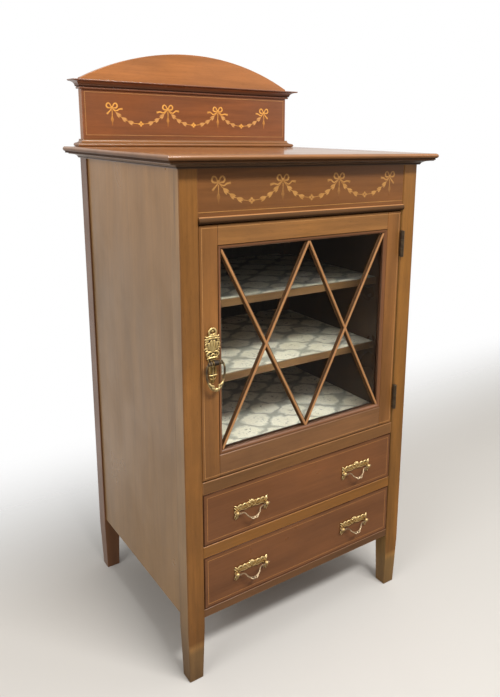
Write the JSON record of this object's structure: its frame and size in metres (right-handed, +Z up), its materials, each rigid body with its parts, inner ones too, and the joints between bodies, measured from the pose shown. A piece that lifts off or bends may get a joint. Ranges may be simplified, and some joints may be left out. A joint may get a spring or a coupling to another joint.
{
  "type": "sheet music cabinet",
  "caption": "Upright inlaid cabinet on square legs, with a barred glass door over shelves, drawers with swan-neck pulls and an arched gallery.",
  "frame": {"origin": "on the floor, under the middle of the top board", "axes": "+X to the right when facing the door, +Y to the back, +Z up"},
  "size_m": [0.534, 0.454, 1.0685],
  "materials": {
    "mahogany": "French polished mahogany with boxwood stringing and inlaid festoons",
    "plain_wood": "plain unpolished wood",
    "brass": "cast and lacquered brass",
    "window_glass": "clear",
    "lining_paper": "printed matt paper"
  },
  "bodies": {
    "cabinet": {"leg_front_left": "mahogany", "leg_front_right": "mahogany", "leg_back_left": "mahogany", "leg_back_right": "mahogany", "side_panel_left": "mahogany", "side_panel_right": "mahogany", "back_panel": "plain_wood", "top_board": "mahogany", "top_moulding": "mahogany", "frieze_panel": "mahogany", "frieze_bead": "mahogany", "cupboard_rail": "mahogany", "cupboard_floor": "mahogany", "drawer_divider": "mahogany", "bottom_board": "mahogany", "shelf_upper": "mahogany", "shelf_lower": "mahogany", "shelf_paper_upper": "lining_paper", "shelf_paper_lower": "lining_paper", "floor_paper": "lining_paper", "gallery_board": "mahogany", "gallery_cornice": "mahogany", "gallery_base_moulding": "mahogany", "hinge_upper_frame_leaf": "brass", "hinge_lower_frame_leaf": "brass", "drawer_guide_upper_left": "plain_wood", "drawer_guide_upper_right": "plain_wood", "drawer_guide_lower_left": "plain_wood", "drawer_guide_lower_right": "plain_wood"},
    "door": {"door_stile_left": "mahogany", "door_stile_right": "mahogany", "door_rail_top": "mahogany", "door_rail_bottom": "mahogany", "door_moulding": "mahogany", "door_glass": "window_glass", "door_astragals": "mahogany", "glazing_bead": "mahogany", "door_handle_plate": "brass", "hinge_upper_door_leaf": "brass", "hinge_lower_door_leaf": "brass", "door_lock": "brass"},
    "door_ring": {"door_handle_ring": "brass"},
    "drawer_lower": {"drawer_lower_front": "mahogany", "drawer_lower_side_left": "plain_wood", "drawer_lower_side_right": "plain_wood", "drawer_lower_back": "plain_wood", "drawer_lower_bottom": "plain_wood", "drawer_lower_pull_left": "brass", "drawer_lower_pull_right": "brass"},
    "drawer_lower_bail_left": {"drawer_lower_bail_left": "brass"},
    "drawer_lower_bail_right": {"drawer_lower_bail_right": "brass"},
    "drawer_upper": {"drawer_upper_front": "mahogany", "drawer_upper_side_left": "plain_wood", "drawer_upper_side_right": "plain_wood", "drawer_upper_back": "plain_wood", "drawer_upper_bottom": "plain_wood", "drawer_upper_pull_left": "brass", "drawer_upper_pull_right": "brass"},
    "drawer_upper_bail_left": {"drawer_upper_bail_left": "brass"},
    "drawer_upper_bail_right": {"drawer_upper_bail_right": "brass"}
  },
  "joints": [
    {"name": "door_hinge", "type": "hinge", "parent": "cabinet", "child": "door", "pos_m": [0.20825, -0.2038, 0.575], "axis": [0, 0, 1], "range_deg": [0, 170]},
    {"name": "door_ring_pivot", "type": "hinge", "parent": "door", "child": "door_ring", "pos_m": [-0.188, -0.2093, 0.5693], "axis": [-1, 0, 0], "range_deg": [0, 100]},
    {"name": "drawer_lower_slide", "type": "slide", "parent": "cabinet", "child": "drawer_lower", "axis": [0, -1, 0], "range_m": [0, 0.26]},
    {"name": "drawer_lower_bail_left_pivot", "type": "hinge", "parent": "drawer_lower", "child": "drawer_lower_bail_left", "pos_m": [-0.1175, -0.2053, 0.1775], "axis": [-1, 0, 0], "range_deg": [0, 100]},
    {"name": "drawer_lower_bail_right_pivot", "type": "hinge", "parent": "drawer_lower", "child": "drawer_lower_bail_right", "pos_m": [0.1175, -0.2053, 0.1775], "axis": [-1, 0, 0], "range_deg": [0, 100]},
    {"name": "drawer_upper_slide", "type": "slide", "parent": "cabinet", "child": "drawer_upper", "axis": [0, -1, 0], "range_m": [0, 0.26]},
    {"name": "drawer_upper_bail_left_pivot", "type": "hinge", "parent": "drawer_upper", "child": "drawer_upper_bail_left", "pos_m": [-0.1175, -0.2053, 0.294], "axis": [-1, 0, 0], "range_deg": [0, 100]},
    {"name": "drawer_upper_bail_right_pivot", "type": "hinge", "parent": "drawer_upper", "child": "drawer_upper_bail_right", "pos_m": [0.1175, -0.2053, 0.294], "axis": [-1, 0, 0], "range_deg": [0, 100]}
  ]
}
